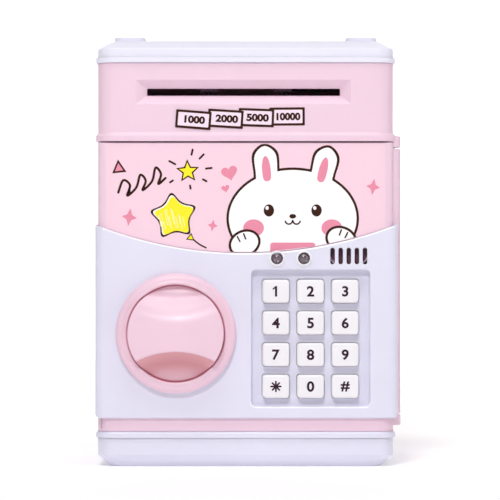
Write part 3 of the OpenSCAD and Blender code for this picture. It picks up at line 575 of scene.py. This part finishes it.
def knob_ring():
    """A ring with a round shoulder outside, a small lip inside and a web under the dial."""
    low, high, mid = box_mm("knob_ring")
    outer, height = (high.x - low.x) / 2, high.y - low.y
    width, side, shoulder, shoulder_rise, drop = 5.05, 0.8, 2.8, 3.0, 0.4
    lip, lip_drop, web, web_thick = 0.8, 0.45, 1.2, 0.3
    inner = outer - width
    profile = [(outer, 0.0), (outer, side)]
    profile += arc(outer - shoulder, height - shoulder_rise - drop, shoulder, shoulder_rise, 0, 90, 12)
    profile += [(inner + 2 * lip, height - lip_drop)]
    profile += arc(inner + lip, height - lip, lip, lip, 60, 180, 8)
    profile += [(inner, web_thick), (inner - web, web_thick), (inner - web, 0.0)]
    bm = bmesh.new()
    add_lathe(bm, profile, (mid.x, high.y, mid.z), (0, -1, 0), 160)
    piece = finish_mesh(bm, "ring", "door", "pink_ring", 50.0)
    piece.data.materials.append(MATERIALS["painted_gap_shade"])
    for face in piece.data.polygons:
        middle = face.center / MM
        # The ring's inner wall and web get painted shade, for the gap round the dial.
        if math.hypot(middle.x - mid.x, middle.z - mid.z) < inner + 0.02:
            face.material_index = 1
    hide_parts("knob_ring")


# ---- front panel ----
PANEL_ARC_LOW = 95.2
PANEL_ARC_R = 182.5
PANEL_CORNER = 2.2
PANEL_THICK = 1.98
PANEL_BEND = 4.0
PANEL_REACH = -55.2         # furthest back that the bend goes at the hinge side
PANEL_ROLL = 0.7
SIDE_THICK = 0.95
SIDE_CHAMFER = 0.3
KEY_HOLE_GAP = 0.5
RECESS = (28.9, 57.3, 52.5, 60.7, 2.0, 4.0)      # middle x and z, width, height, corner radius, depth
GRILLE = (45.9, 93.9, 3.6, 2.0, 7.4)             # middle x and z, pitch, a slot's width and height


def panel_top(x):
    return PANEL_ARC_LOW + PANEL_ARC_R - math.sqrt(PANEL_ARC_R ** 2 - x * x)


def panel_outline(x0, x1, z0, inset):
    """Two round corners below and a hollow curve on top; inset lowers the top and raises the foot."""
    r = PANEL_CORNER
    across = [x1 + (x0 - x1) * i / 40 for i in range(41)]
    return (arc(x0 + r, z0 + r, r, r - inset, 180, 270, 6) + arc(x1 - r, z0 + r, r, r - inset, 270, 360, 6)
            + [(x, panel_top(x) - inset) for x in across])


def rolled_edge(r, steps=4):
    """Steps round a rolled edge: how far in from the wall, and how far down from the face."""
    angles = [math.radians(90 * i / steps) for i in range(steps + 1)]
    return [(r * (1 - math.sin(a)), r * (1 - math.cos(a))) for a in angles]


class Plate:
    """A plate built from the walls of its outline and openings; its flat faces are filled last."""

    def __init__(self):
        self.bm = bmesh.new()
        self.rims = {}

    def wall(self, rings, first_face, last_face):
        """Skins rings of (x, y, z); the first and the last are rims of the named flat faces."""
        loops = [[self.bm.verts.new(p) for p in ring] for ring in rings]
        skin(self.bm, loops)
        n = len(loops[0])
        for face, loop in ((first_face, loops[0]), (last_face, loops[-1])):
            edges = [self.bm.edges.get((loop[i], loop[(i + 1) % n])) for i in range(n)]
            self.rims.setdefault(face, []).extend(edges)

    def opening(self, shape, edge, y0, y1, first_face, last_face):
        """A hole from y0 to y1 with a rolled front edge; shape(grow) gives its outline."""
        rings = [[(x, y0 + down, z) for x, z in shape(out)] for out, down in rolled_edge(edge)]
        rings.append([(x, y1, z) for x, z in shape(0)])
        self.wall(rings, first_face, last_face)

    def fill(self):
        for edges in self.rims.values():
            bmesh.ops.triangle_fill(self.bm, edges=edges, use_beauty=True)


def bend_sides(bm, x0, x1, r, reach):
    """Bends a plate's two upright edges back with a radius of r; none of it passes reach at the x1 side."""
    cuts = (0.05, 0.2, 0.5, 1.0, 1.7, 2.6, 3.6, 4.6)
    for x in [x0 + cut for cut in cuts] + [x1 - cut for cut in cuts]:
        everything = bm.verts[:] + bm.edges[:] + bm.faces[:]
        bmesh.ops.bisect_plane(bm, geom=everything, plane_co=(x, 0, 0), plane_no=(1, 0, 0))
    for v in bm.verts:
        near = r - min(v.co.x - x0, x1 - v.co.x)
        if near > 0:
            v.co.y += r - math.sqrt(max(r * r - near * near, 0.0))
        if v.co.x > 0:
            v.co.y = min(v.co.y, reach)


def slot_shape(cx, cz, w, h, r):
    return lambda grow: placed(rounded_rect(w + 2 * grow, h + 2 * grow, r + grow), cx, cz)


def round_shape(node, r):
    mid = box_mm(node)[2]
    return lambda grow: ellipse(mid.x, mid.z, r + grow, r + grow, 40)


def front_panel():
    """The panel's face with its keypad recess, bent back round the door's two sides."""
    low, high = box_mm("front_panel")[:2]
    front, back = low.y, low.y + PANEL_THICK
    cx, cz, w, h, corner, depth = RECESS
    floor, under = front + depth, front + depth + 1.0
    plate = Plate()
    rings = [[(x, front + down, z) for x, z in panel_outline(low.x, high.x, low.z, 1.3 * inset)]
             for inset, down in rolled_edge(PANEL_ROLL, 5)]
    rings.append([(x, back, z) for x, z in panel_outline(low.x, high.x, low.z, 0)])
    plate.wall(rings, "front", "back")
    for node, r in (("red_led", 2.6), ("green_led", 2.6), ("knob_spindle", 4.1)):
        plate.opening(round_shape(node, r), 0.15, front, back, "front", "back")
    slot_x, slot_z, pitch, slot_w, slot_h = GRILLE
    for i in range(-2, 3):
        shape = slot_shape(slot_x + pitch * i, slot_z, slot_w, slot_h, slot_w / 2 - 0.02)
        plate.opening(shape, 0.2, front, back, "front", "back")
    recess = slot_shape(cx, cz, w, h, corner)
    rings = [[(x, front + down, z) for x, z in recess(out)] for out, down in rolled_edge(0.8, 5)]
    rings += [[(x, floor - down, z) for x, z in recess(-out)] for out, down in reversed(rolled_edge(0.6))]
    plate.wall(rings, "front", "floor")
    tub = slot_shape(cx, cz, w + 2, h + 2, corner + 0.5)
    plate.wall([[(x, y, z) for x, z in tub(0)] for y in (back, under)], "back", "under")
    for node in KEY_SYMBOLS:
        key_low, key_high, key = box_mm(node)
        hole_w = key_high.x - key_low.x - 2 * KEY_FLANGE + KEY_HOLE_GAP
        hole_h = key_high.z - key_low.z - 2 * KEY_FLANGE + KEY_HOLE_GAP
        hole = slot_shape(key.x, key.z, hole_w, hole_h, KEY_CORNER)
        plate.opening(hole, 0.2, floor, under, "floor", "under")
    plate.fill()
    bend_sides(plate.bm, low.x, high.x, PANEL_BEND, PANEL_REACH)
    bend_end, side_end = back + PANEL_BEND, high.y
    side = [(low.x, bend_end), (low.x, side_end - SIDE_CHAMFER), (low.x + SIDE_CHAMFER, side_end),
            (low.x + SIDE_THICK, side_end), (low.x + SIDE_THICK, bend_end)]
    add_loft(plate.bm, [[(x, y, z) for x, y in side] for z in (low.z + PANEL_CORNER, panel_top(low.x))])
    piece = finish_mesh(plate.bm, "front_plate", "door", "lilac_abs", 50.0)
    piece.modifiers.new("flat_faces", "WEIGHTED_NORMAL").keep_sharp = True
    piece.data.materials.append(MATERIALS["painted_lip_highlight"])
    # The upward-facing faces of the rolled top edge get a painted highlight.
    for face in piece.data.polygons:
        middle = face.center / MM
        on_roll = front + 0.02 < middle.y < front + PANEL_ROLL
        if on_roll and face.normal.z > 0.02 and abs(middle.x - low.x) > PANEL_BEND:
            face.material_index = 1
    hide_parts("front_panel")


# ---- keypad ----
KEY_SYMBOLS = {"key_1": "1", "key_2": "2", "key_3": "3", "key_4": "4", "key_5": "5", "key_6": "6",
               "key_7": "7", "key_8": "8", "key_9": "9", "key_star": "*", "key_0": "0", "key_hash": "#"}
KEY_CORNER = 1.5
KEY_EDGE = 0.9
KEY_FLANGE = 0.9
DIGIT_HEIGHT = 4.7


def key_cap(node, symbol):
    """A key with a rolled edge, a flange at its back and its symbol printed on it."""
    low, high, mid = box_mm(node)
    w, h = high.x - low.x - 2 * KEY_FLANGE, high.z - low.z - 2 * KEY_FLANGE
    flange_front = high.y - 0.8

    def ring(y, inset):
        outline = rounded_rect(w - 2 * inset, h - 2 * inset, max(KEY_CORNER - inset * 0.6, 0.5))
        return [(mid.x + x, y, mid.z + z) for x, z in outline]

    rings = [ring(low.y, 3.0)]
    rings += [ring(low.y + down, inset) for inset, down in rolled_edge(KEY_EDGE, 6)]
    rings += [ring(flange_front, 0.0), ring(flange_front, -KEY_FLANGE), ring(high.y, -KEY_FLANGE)]
    bm = bmesh.new()
    add_loft(bm, rings)
    piece = finish_mesh(bm, node + "_cap", node, "key_white", 50.0)
    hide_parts(node)
    if symbol == "*":
        asterisk(node + "_print", mid.x, mid.z, low.y, node)
    elif symbol == "1":
        figure_one(node + "_print", mid.x, mid.z, low.y, node)
    else:
        height = DIGIT_HEIGHT * 0.95 if symbol == "#" else DIGIT_HEIGHT
        text_outline_piece(node + "_print", symbol, height, mid.x, mid.z, low.y + 0.01, node,
                           "key_ink", bold=0.03, widen=1.06)


def asterisk(name, cx, cz, y, body):
    """Eight short arms, as wide as a digit is tall."""
    bm = bmesh.new()
    reach = DIGIT_HEIGHT * 0.46
    for i in range(4):
        a = math.radians(45 * i)
        tip = (reach * math.cos(a), reach * math.sin(a))
        add_stroke(bm, [(cx - tip[0], cz - tip[1]), (cx + tip[0], cz + tip[1])], 0.75,
                   y + 0.01 - 0.01 * i, y - 0.05 - 0.002 * i)
    finish_mesh(bm, name, body, "key_ink")


def figure_one(name, cx, cz, y, body):
    """A one with a flag, which is drawn because the font's is a plain bar."""
    bm = bmesh.new()
    top, width, right = DIGIT_HEIGHT / 2, 0.95, 0.55
    outline = [(right - width, -top), (right, -top), (right, top), (right - 0.7 * width, top),
               (-1.45, top - 1.1), (-1.15, top - 1.75), (right - width, top - 1.0)]
    add_prism(bm, placed(outline, cx, cz), y + 0.01, y - 0.05)
    finish_mesh(bm, name, body, "key_ink")


# ---- indicator lights ----
def indicator(node, material):
    """A domed lens on a wider foot."""
    low, high, mid = box_mm(node)
    r, foot_r, foot_thick = 2.45, 2.9, 1.0
    length = high.y - low.y
    axis = 0.001                        # stands in for a radius of nothing
    profile = [(axis, 0.0), (foot_r, 0.0), (foot_r, foot_thick), (r, foot_thick)]
    profile += arc(0, length - r, r, r, 0, 90, 12)[:-1] + [(axis, length)]
    bm = bmesh.new()
    add_lathe(bm, profile, (mid.x, high.y, mid.z), (0, -1, 0), 48)
    piece = finish_mesh(bm, node + "_lens", "door", material, 50.0)
    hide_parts(node)


def light_rings():
    """The round white rings of the two lights."""
    low, high, mid = box_mm("led_bezels")
    outer, height = (high.z - low.z) / 2, high.y - low.y
    bore, crest_at, crest = 2.6, 3.05, 0.45
    profile = [(outer, 0.0)] + arc(crest_at, height - crest, crest, crest, 0, 180, 10) + [(bore, 0.0)]
    bm = bmesh.new()
    for x in (low.x + outer, high.x - outer):
        add_lathe(bm, profile, (x, high.y, mid.z), (0, -1, 0), 64)
    piece = finish_mesh(bm, "light_rings", "door", "white_abs", 50.0)
    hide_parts("led_bezels")


# ---- note feeder: the rubber rollers seen through the slot ----
def rollers(node, body):
    """Two rubber tyres with rounded shoulders and shallow grooves."""
    low, high, mid = box_mm(node)
    r, bore, w, shoulder = (high.z - low.z) / 2, 1.5, 8.0, 0.5
    groove_depth, groove_top, groove_foot = 0.35, 0.35, 0.2
    profile = [(bore, 0.0), (r - shoulder, 0.0), (r, shoulder)]
    for i in range(1, 4):
        at = w * i / 4
        profile += [(r, at - groove_top), (r - groove_depth, at - groove_foot),
                    (r - groove_depth, at + groove_foot), (r, at + groove_top)]
    profile += [(r, w - shoulder), (r - shoulder, w), (bore, w)]
    bm = bmesh.new()
    for x in (low.x, high.x - w):
        add_lathe(bm, profile, (x, mid.y, mid.z), (1, 0, 0), 72)
    piece = finish_mesh(bm, node + "_tyres", body, "roller_rubber")
    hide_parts(node)


# ---- the plunger's spring ----
def plunger_spring():
    """A helical wire that stretches between the lock frame and the plunger's collar."""
    low, high, mid = box_mm("plunger_spring")
    wire, turns, sides, steps = 0.28, 4.0, 10, 112
    r = (high.x - low.x) / 2 - wire
    z0, z1 = low.z + wire, high.z - wire
    up = Vector((0, 0, 1))
    rings = []
    for k in range(steps + 1):
        a = 2 * math.pi * turns * k / steps
        out = Vector((math.cos(a), math.sin(a), 0))
        centre = Vector((mid.x, mid.y, z0 + (z1 - z0) * k / steps)) + out * r
        rings.append([centre + (out * math.cos(b) + up * math.sin(b)) * wire for b in around(sides)])
    bm = bmesh.new()
    add_loft(bm, rings)
    piece = make_piece(bm, "return_spring", "steel", 180.0)
    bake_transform(piece)
    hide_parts("plunger_spring")


# ---- the printed picture above the front panel ----
PRINT_FRONT = box_mm("print_panel")[0].y
LAYER = 0.04
INK_THICK = 0.03
PEN = 1.1


def layer(k):
    """Front and back of printed layer k; layer 1 lies on the film."""
    back = PRINT_FRONT - LAYER * (k - 1) - 0.005
    return back, back - INK_THICK


def above_panel(points):
    """Holds an outline above the front panel's curved top edge."""
    return [(x, max(z, panel_top(x) + 0.5)) for x, z in points]


def fill(name, outlines, k, ink):
    bm = bmesh.new()
    for outline in outlines:
        add_prism(bm, above_panel(outline), *layer(k))
    finish_mesh(bm, name, "door", ink)


def lines(name, paths, k, ink="ink", width=PEN):
    bm = bmesh.new()
    for path in paths:
        add_stroke(bm, above_panel(path), width, *layer(k))
    finish_mesh(bm, name, "door", ink)


def print_small_star():
    """A small star with short rays round it."""
    x, z, tilt = -25.7, 131.6, 3
    fill("small_star", [placed(star(4.0, 1.75), x, z, tilt)], 2, "yellow_ink")
    fill("small_star_edge", [placed(star(5.4, 2.5), x, z, tilt)], 1, "ink")
    # Angle, distance from the middle and length of each ray
    rays = ((77, 7.4, 2.3), (46, 7.6, 2.6), (7, 8.2, 2.5), (-29, 7.8, 1.7),
            (-81, 6.6, 1.4), (-147, 7.9, 1.5), (152, 6.3, 3.0))
    paths = [placed([(near, 0), (near + length, 0)], x, z + 0.2, angle) for angle, near, length in rays]
    lines("star_rays", paths, 1, width=0.9)


def print_big_star():
    """A big star coloured in with slanting streaks, and the knot and string that it hangs on."""
    x, z, tilt = -31.9, 111.6, 6
    fill("big_star_edge", [softened(placed(star(11.6, 6.8), x, z, tilt), 2.6)], 1, "ink")
    fill("big_star_paper", [softened(placed(star(10.4, 6.1), x, z, tilt), 2.3)], 2, "white_ink")
    fill("big_star", [softened(placed(star(9.9, 5.9), x + 0.3, z - 0.2, tilt), 2.2)], 3, "yellow_ink")
    streaks, middle, slant = [], 5.5, 0.22
    for i in range(12):
        foot_x = x - 5.6 + 0.95 * i
        foot_z = z - 4.6 + 1.4 * math.sin(2.3 * i)
        tall = 7.2 - 3.4 * abs(i - middle) / middle + 1.4 * math.sin(1.9 * i + 1)
        streaks.append([(foot_x, foot_z), (foot_x - slant * tall, foot_z + tall)])
    lines("big_star_streaks", streaks, 4, "star_streak_ink", 0.36)
    fill("star_knot_edge", [placed([(0, 1.9), (-1.9, -1.4), (1.9, -1.4)], -24.4, 102.4, -8)], 1, "ink")
    fill("star_knot", [placed([(0, 1.1), (-1.15, -0.85), (1.15, -0.85)], -24.4, 102.3, -8)], 2, "yellow_ink")
    lines("star_string", [curve_through([(-23.4, 101.4), (-20.6, 99.2), (-17.6, 97.6)])], 1, width=0.7)


def print_hearts_and_sparkles():
    fill("hearts", [placed(heart(7.2), -7.1, 131.0, 14), placed(heart(3.6), -8.9, 124.0, 14)], 1, "rose_ink")
    sparkles = []
    for x, z, r in ((-51.7, 111.2, 4.0), (-14.6, 107.5, 2.7), (56.8, 124.7, 3.7)):
        waist = 0.28 * r
        tips = [(0, r), (waist, waist), (r * 0.85, 0), (waist, -waist),
                (0, -r), (-waist, -waist), (-r * 0.85, 0), (-waist, waist)]
        sparkles.append(placed(tips, x, z, -8))
    fill("sparkles", sparkles, 1, "rose_ink")


def print_scribble():
    """A pen scribble of open loops, which spells nothing, and a small flag beside it."""
    path = [(-56.6, 122.2), (-54.4, 127.6), (-51.4, 125.4), (-52.6, 120.8), (-48.6, 124.4), (-46.8, 130.0),
            (-44.4, 127.4), (-45.8, 123.2), (-41.6, 127.2), (-40.0, 133.2), (-37.6, 130.4), (-38.8, 126.0),
            (-35.6, 128.6)]
    lines("pen_scribble", [curve_through(path, 10)], 1, width=1.05)
    fill("flag_edge", [placed([(0, 3.5), (-3.2, -2.4), (3.2, -2.4)], -56.4, 133.4, 6)], 1, "ink")
    fill("flag", [placed([(0, 1.9), (-1.9, -1.6), (1.9, -1.6)], -56.4, 133.4, 6)], 2, "rose_ink")


def print_rabbit():
    """A plain rabbit: an oval head with two ears, dot eyes, round cheeks and two paws."""
    cx, cz, rx, rz = 21.0, 110.6, 28.4, 21.6
    ear_places = ((9.6, 128.6, 5), (33.6, 128.2, -14))
    ear = curve_through([(-4.2, -6), (-4.8, 3), (-4.6, 10.6), (0, 14.3), (4.6, 10.6), (4.8, 3), (4.2, -6)],
                        6, closed=True)
    inner_ear = curve_through([(-1.4, -1), (-1.9, 4), (-1.2, 8.2), (0, 9.6), (1.2, 8.2), (1.9, 4), (1.4, -1)],
                              6, closed=True)
    grown_ear = [(x * (1 + PEN / 5.0), z * (1 + PEN / 14.3)) for x, z in ear]
    film_top = box_mm("print_panel")[1].z - 0.2
    ear_edges = [[(x, min(z, film_top)) for x, z in placed(grown_ear, *place)] for place in ear_places]
    fill("rabbit_ear_edges", ear_edges, 1, "ink")
    fill("rabbit_head_edge", [ellipse(cx, cz, rx + PEN, rz + PEN, 96)], 2, "ink")
    fill("rabbit_ear_faces", [placed(ear, *place) for place in ear_places], 3, "white_ink")
    fill("rabbit_head", [ellipse(cx, cz, rx, rz, 96)], 4, "white_ink")
    fill("rabbit_ears", [placed(inner_ear, x, z + 0.2, tilt) for x, z, tilt in ear_places], 5, "rose_ink")
    fill("rabbit_cheeks", [ellipse(x, 106.4, 4.6, 3.8) for x in (3.6, 38.4)], 5, "rose_ink")
    fill("rabbit_eyes", [ellipse(x, 114.2, 2.3, 2.7) for x in (10.4, 31.6)], 5, "ink")
    fill("rabbit_eye_lights", [ellipse(x, 115.3, 0.75, 0.85) for x in (9.6, 30.8)], 6, "white_ink")
    fill("rabbit_nose", [ellipse(cx, 111.6, 1.5, 1.0)], 5, "ink")
    smile = [arc(19.3, 110.0, 1.7, 1.9, 200, 350, 10), arc(22.7, 110.0, 1.7, 1.9, 190, 340, 10)]
    lines("rabbit_smile", smile, 5, width=0.7)
    paw_w, paw_h = 6.2, 4.9
    for side, *place in (("left", -0.4, 99.6, 24), ("right", 42.6, 101.2, -24)):
        fill(f"rabbit_{side}_paw_edge", [placed(ellipse(0, 0, paw_w + PEN, paw_h + PEN), *place)], 6, "ink")
        fill(f"rabbit_{side}_paw", [placed(ellipse(0, 0, paw_w, paw_h), *place)], 7, "white_ink")
        toes = [placed([(x, 1.6), (x * 1.1, 4.0)], *place) for x in (-1.6, 1.2)]
        lines(f"rabbit_{side}_toes", toes, 8, width=0.7)
    fill("rabbit_scarf", [above_panel(placed(rounded_rect(20, 4.6, 1.2), cx, 97.6))], 5, "rose_ink")


# ---- the notes printed on the header ----
def header_notes():
    """Four overlapping outlines of notes with plain round values."""
    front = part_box("door_shell")[0].y / MM - 0.005
    notes = [("1000", -23.2, 154.6, -4.5), ("2000", -8.9, 155.0, -3.5),
             ("5000", 4.8, 155.5, -2.0), ("10000", 18.5, 156.0, 0.5)]
    for i, (value, x, z, tilt) in enumerate(notes):
        y = front - LAYER * 3 * (len(notes) - 1 - i)
        for k, (part, w, h, ink) in enumerate((("edge", 15.8, 8.1, "ink"), ("face", 13.7, 6.0, "note_ink"))):
            bm = bmesh.new()
            back = y - LAYER * k
            add_prism(bm, placed(rounded_rect(w, h, 0.3, 2), x, z, tilt), back, back - INK_THICK)
            finish_mesh(bm, f"note_{value}_{part}", "case", ink)
        text_outline_piece(f"note_{value}_value", value, 3.4, x + 0.6, z, y - LAYER * 2, "case",
                           "ink", bold=0.05, tilt=tilt, depth=INK_THICK,
                           widen=1.16 - 0.1 * (len(value) - 4))


front_panel()
knob_dial()
knob_ring()
for key_node, key_symbol in KEY_SYMBOLS.items():
    key_cap(key_node, key_symbol)
indicator("red_led", "led_red")
indicator("green_led", "led_green")
light_rings()
rollers("drive_rollers", "drive_roller")
rollers("pinch_rollers", "pinch_roller")
plunger_spring()
print_small_star()
print_big_star()
print_hearts_and_sparkles()
print_scribble()
print_rabbit()
header_notes()


# ---- floor, light and camera ----
def studio_floor():
    """A pale sweep that runs back from the bank and curves up behind it."""
    width, near, bend, radius, top = 6.0, -4.0, 1.4, 1.0, 4.0
    path = [(near, 0.0)] + arc(bend, radius, radius, radius, -90, 0, 16) + [(bend + radius, top)]
    bm = bmesh.new()
    rows = [[bm.verts.new((x, y, z)) for x in (-width / 2, width / 2)] for y, z in path]
    for a, b in zip(rows, rows[1:]):
        bm.faces.new((a[0], a[1], b[1], b[0]))
    mesh = bpy.data.meshes.new("studio_floor")
    bm.to_mesh(mesh)
    bm.free()
    mesh.shade_smooth()
    material, tree, shader = new_material("pale_paper")
    tint(tree, noise(tree, 3.0), (0.93, 0.925, 0.93), 0.006, shader.inputs["Base Color"])
    shader.inputs["Roughness"].default_value = 0.9
    shader.inputs["Emission Color"].default_value = (1, 0.985, 0.99, 1)
    place = tree.nodes.new("ShaderNodeTexCoord")
    parts = tree.nodes.new("ShaderNodeSeparateXYZ")
    glow = add_node(tree, "ShaderNodeMapRange")
    for socket, value in (("From Min", -0.2), ("From Max", 1.3), ("To Min", 0.12), ("To Max", 0.85)):
        glow.inputs[socket].default_value = value
    tree.links.new(place.outputs["Object"], parts.inputs["Vector"])
    tree.links.new(parts.outputs["Y"], glow.inputs["Value"])
    tree.links.new(glow.outputs["Result"], shader.inputs["Emission Strength"])
    mesh.materials.append(material)
    floor = bpy.data.objects.new("studio_floor", mesh)
    bpy.context.scene.collection.objects.link(floor)


def soft_light(name, place, target, size, power):
    light = bpy.data.lights.new(name, "AREA")
    light.shape = "RECTANGLE"
    light.size, light.size_y = size
    light.energy = power
    holder = bpy.data.objects.new(name, light)
    holder.location = place
    holder.rotation_euler = (Vector(target) - Vector(place)).to_track_quat("-Z", "Y").to_euler()
    bpy.context.scene.collection.objects.link(holder)


def studio():
    world = bpy.data.worlds.new("studio")
    world.use_nodes = True
    world.node_tree.nodes["Background"].inputs["Color"].default_value = (1.0, 0.985, 0.995, 1)
    world.node_tree.nodes["Background"].inputs["Strength"].default_value = 0.08
    bpy.context.scene.world = world
    middle = (0, 0, 0.1)
    soft_light("key_light", (-0.2, -1.5, 1.2), middle, (0.35, 0.25), 13.0)
    soft_light("top_light", (0.0, -0.55, 1.5), middle, (1.3, 0.5), 10.0)
    soft_light("left_light", (-1.5, -0.6, 0.6), middle, (0.5, 0.9), 1.9)
    soft_light("right_light", (1.5, -0.6, 0.6), middle, (0.5, 0.9), 4.2)
    soft_light("front_light", (0.0, -1.6, 0.19), (0, 0, 0.15), (0.3, 0.15), 1.3)
    bpy.context.scene.view_settings.view_transform = "Standard"


def camera():
    """A long lens at the height of the bank's middle, square to its front."""
    data = bpy.data.cameras.new("camera")
    distance, seen_height, sensor = 1.30, 0.2225, 36.0
    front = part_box("door_shell")[0].y
    data.sensor_width = sensor
    data.lens = sensor * (distance + front) / seen_height
    holder = bpy.data.objects.new("camera", data)
    holder.location = (0.002, -distance, 0.0966)
    holder.rotation_euler = (math.radians(90), 0, 0)
    bpy.context.scene.collection.objects.link(holder)
    bpy.context.scene.camera = holder


studio_floor()
studio()
camera()
